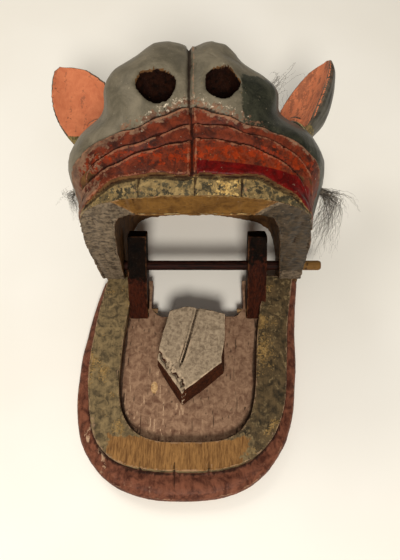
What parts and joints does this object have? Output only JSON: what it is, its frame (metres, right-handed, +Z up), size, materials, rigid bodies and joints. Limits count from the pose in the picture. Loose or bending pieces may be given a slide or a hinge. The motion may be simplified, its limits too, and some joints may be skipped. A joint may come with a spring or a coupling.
{
  "type": "hinged-jaw wooden animal mask",
  "caption": "Carved and painted wooden animal mask with a free-swinging lower jaw hung on a cross stick, upright ears, a wooden tongue and hair tufts.",
  "frame": {"origin": "middle of the assembly's box, seen from above, on the table that the open mask lies on", "axes": "+X to the viewer's right across the mask, +Y from the jaw's front back past the hinge, +Z up from the table; the jaw lies flat and open, and the head stands on its rear rim with its snout up"},
  "size_m": [0.2851, 0.4058, 0.2609],
  "materials": {
    "head_paint": "old glossy oil paint in black, brown red and dull gold, worn to the wood on the edges",
    "eye_paint": "dark olive paint with a worn gold ring",
    "ear_paint": "worn orange red paint inside, black outside",
    "peg_wood": "bare split wood",
    "rod_wood": "dark polished stick with a paler end",
    "jaw_paint": "worn dull gold, black and red paint over bare brown wood",
    "post_paint": "dark red brown paint, smoke blackened",
    "tongue_wood": "greyed bare wood on top, red brown sides",
    "plug_wood": "dark end grain",
    "hair": "coarse dark animal hair with grey strands"
  },
  "bodies": {
    "head": {"head_shell": "head_paint", "eye_left": "eye_paint", "eye_right": "eye_paint", "ear_left": "ear_paint", "ear_right": "ear_paint", "ear_peg_left": "peg_wood", "ear_peg_right": "peg_wood", "hinge_rod": "rod_wood", "cheek_plug_left": "plug_wood", "cheek_plug_right": "plug_wood", "crown_plug": "plug_wood", "cheek_tuft_left": "hair", "cheek_tuft_right": "hair", "crown_tuft": "hair"},
    "jaw": {"jaw_board": "jaw_paint", "jaw_post_left": "post_paint", "jaw_post_right": "post_paint", "post_peg_left": "peg_wood", "post_peg_right": "peg_wood", "tongue": "tongue_wood", "tongue_pegs": "peg_wood"}
  },
  "joints": [
    {"name": "jaw_hinge", "type": "hinge", "parent": "head", "child": "jaw", "pos_m": [0, 0.0213, 0.047], "axis": [1, 0, 0], "range_deg": [-80, 0]}
  ]
}
